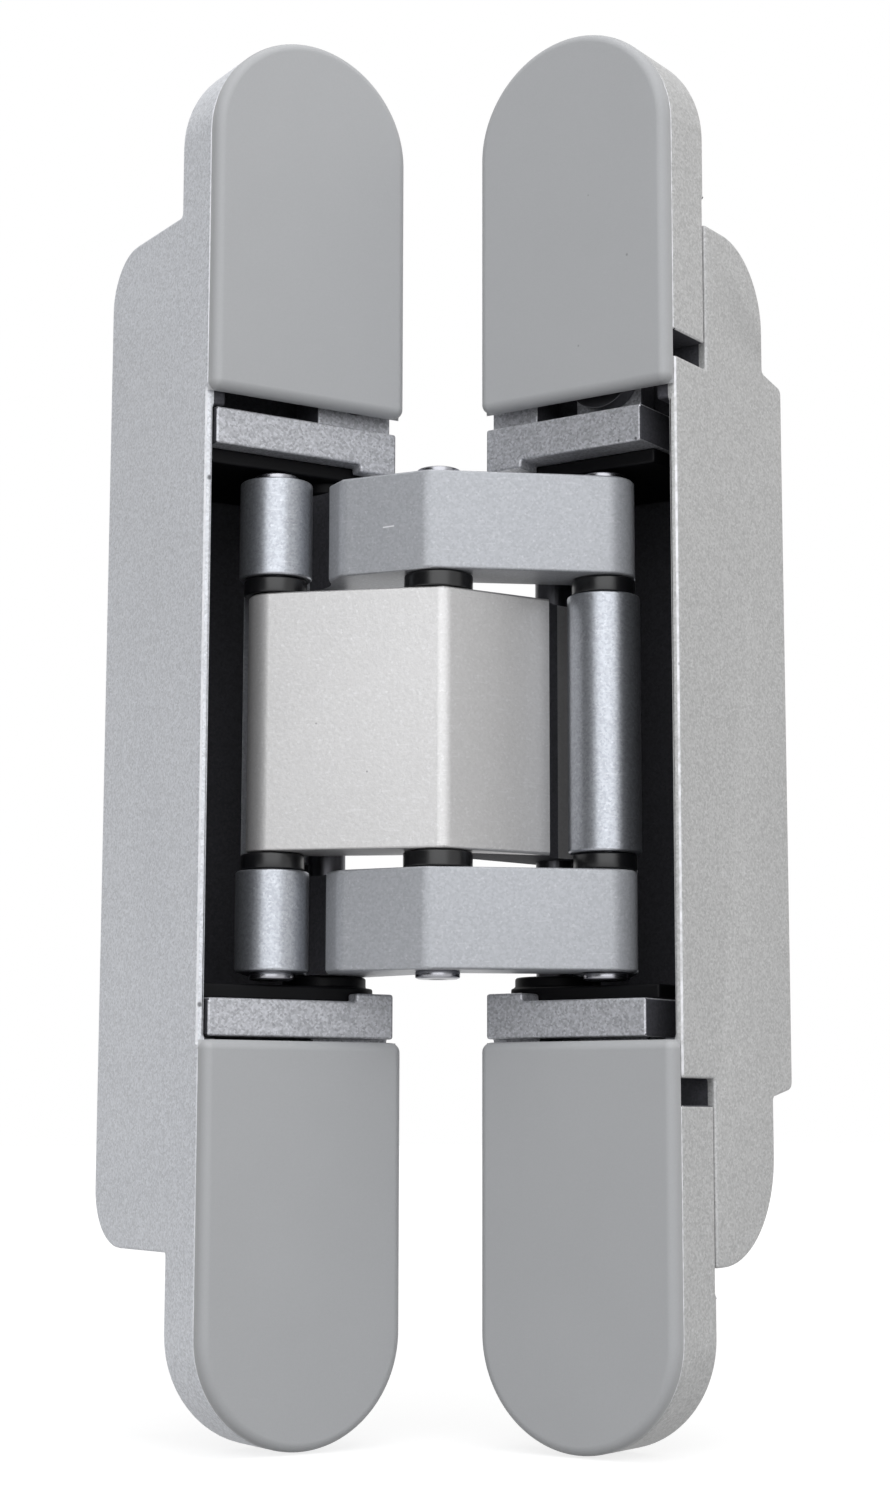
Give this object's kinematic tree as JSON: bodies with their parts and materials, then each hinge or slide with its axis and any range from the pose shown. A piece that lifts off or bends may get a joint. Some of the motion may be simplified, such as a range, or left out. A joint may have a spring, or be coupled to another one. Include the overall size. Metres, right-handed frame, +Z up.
{
  "type": "concealed invisible door hinge",
  "caption": "Concealed door hinge with mortised bodies, crossed folding arms, sliding adjustable carriages and cover caps, shown part open.",
  "frame": {"origin": "middle of the frame-side body's face, at the centre of its two fixing screws", "axes": "+X across the frame-side body towards the other body, +Y into the frame, +Z up along the body's length"},
  "size_m": [0.0664, 0.0566, 0.16],
  "materials": {
    "satin_silver_body": "satin silver coat with a fine sparkle",
    "satin_silver_carriage": "satin silver coat with a fine sparkle",
    "satin_silver_arm": "smoother satin silver coat",
    "grey_cap": "smooth matt grey moulding",
    "black_bearing": "black acetal",
    "steel_pin": "turned steel",
    "steel_adjuster": "zinc plated steel"
  },
  "bodies": {
    "frame_side": {"frame_body": "satin_silver_body", "frame_cap_upper": "grey_cap", "frame_cap_lower": "grey_cap"},
    "frame_carriage": {"frame_carriage": "satin_silver_carriage", "frame_bearing_upper": "black_bearing", "frame_bearing_lower": "black_bearing", "frame_arm_pin": "steel_pin", "frame_link_foot_pin": "steel_pin"},
    "depth_screw_upper": {"depth_screw_upper": "steel_adjuster"},
    "depth_screw_lower": {"depth_screw_lower": "steel_adjuster"},
    "outer_arm": {"outer_leaf_upper": "satin_silver_arm", "outer_leaf_lower": "satin_silver_arm", "centre_pin": "steel_pin", "centre_washer_upper": "black_bearing", "centre_washer_lower": "black_bearing"},
    "middle_arm": {"middle_arm": "satin_silver_arm"},
    "frame_link": {"frame_link": "satin_silver_arm", "frame_link_end_pin": "steel_pin", "frame_link_washer_upper": "black_bearing", "frame_link_washer_lower": "black_bearing"},
    "door_carriage": {"door_carriage": "satin_silver_carriage", "door_bearing_upper": "black_bearing", "door_bearing_lower": "black_bearing", "door_arm_pin": "steel_pin", "door_link_foot_pin": "steel_pin"},
    "door_link": {"door_link": "satin_silver_arm", "door_link_end_pin": "steel_pin", "door_link_washer_upper": "black_bearing", "door_link_washer_lower": "black_bearing"},
    "side_cam_upper": {"side_cam_upper": "steel_adjuster"},
    "side_cam_lower": {"side_cam_lower": "steel_adjuster"},
    "door_side": {"door_body": "satin_silver_body", "clamp_screw_upper": "steel_adjuster", "clamp_screw_lower": "steel_adjuster"},
    "door_plates": {"door_plate_upper": "satin_silver_body", "door_plate_lower": "satin_silver_body", "door_cap_upper": "grey_cap", "door_cap_lower": "grey_cap"}
  },
  "joints": [
    {"name": "depth_slide", "type": "slide", "parent": "frame_side", "child": "frame_carriage", "axis": [0, 1, 0], "range_m": [0, 0.002]},
    {"name": "fold", "type": "hinge", "parent": "frame_carriage", "child": "outer_arm", "pos_m": [0.00785, 0.00791, 0], "axis": [0, 0, 1], "range_deg": [-63.7, 37.44]},
    {"name": "centre_pivot", "type": "hinge", "parent": "outer_arm", "child": "middle_arm", "pos_m": [0.01212, -0.00968, 0], "axis": [0, 0, 1], "range_deg": [-8.26, 14.05]},
    {"name": "door_arm_pivot", "type": "hinge", "parent": "middle_arm", "child": "door_carriage", "pos_m": [0.02996, -0.00662, 0], "axis": [0, 0, 1], "range_deg": [-63.71, 37.45]},
    {"name": "frame_link_pivot", "type": "hinge", "parent": "frame_carriage", "child": "frame_link", "pos_m": [0.00794, 0.01417, 0], "axis": [0, 0, 1], "range_deg": [-49.22, 28.93]},
    {"name": "door_link_pivot", "type": "hinge", "parent": "door_carriage", "child": "door_link", "pos_m": [0.03567, -0.00406, 0], "axis": [0, 0, 1], "range_deg": [-28.93, 49.22]},
    {"name": "side_slide", "type": "slide", "parent": "door_carriage", "child": "door_side", "axis": [0.3967, -0.918, 0], "range_m": [-0.0014, 0.001]},
    {"name": "height_slide", "type": "slide", "parent": "door_side", "child": "door_plates", "axis": [0, 0, 1], "range_m": [-0.0026, 0.0026]},
    {"name": "depth_screw_turn_upper", "type": "hinge", "parent": "frame_carriage", "child": "depth_screw_upper", "pos_m": [0.0074, 0, 0.0407], "axis": [0, 1, 0], "range_deg": [-0.1, 900.1]},
    {"name": "side_cam_turn_upper", "type": "hinge", "parent": "door_carriage", "child": "side_cam_upper", "pos_m": [0.0259, -0.02067, 0.0402], "axis": [0.918, 0.3967, 0], "range_deg": [-58.2, 41.6]},
    {"name": "depth_screw_turn_lower", "type": "hinge", "parent": "frame_carriage", "child": "depth_screw_lower", "pos_m": [0.0074, 0, -0.0407], "axis": [0, 1, 0], "range_deg": [-0.1, 900.1]},
    {"name": "side_cam_turn_lower", "type": "hinge", "parent": "door_carriage", "child": "side_cam_lower", "pos_m": [0.0259, -0.02067, -0.0402], "axis": [0.918, 0.3967, 0], "range_deg": [-41.6, 58.2]}
  ],
  "couplings": [
    {"joint": "centre_pivot", "follows": "fold", "ratio": -0.22032},
    {"joint": "door_arm_pivot", "follows": "fold", "ratio": 1},
    {"joint": "frame_link_pivot", "follows": "fold", "ratio": 0.77256},
    {"joint": "door_link_pivot", "follows": "fold", "ratio": -0.77256},
    {"joint": "depth_screw_turn_upper", "follows": "depth_slide", "rad_per_m": 7854},
    {"joint": "side_cam_turn_upper", "follows": "side_slide", "rad_per_m": 724.31},
    {"joint": "depth_screw_turn_lower", "follows": "depth_slide", "rad_per_m": 7854},
    {"joint": "side_cam_turn_lower", "follows": "side_slide", "rad_per_m": -724.31}
  ]
}
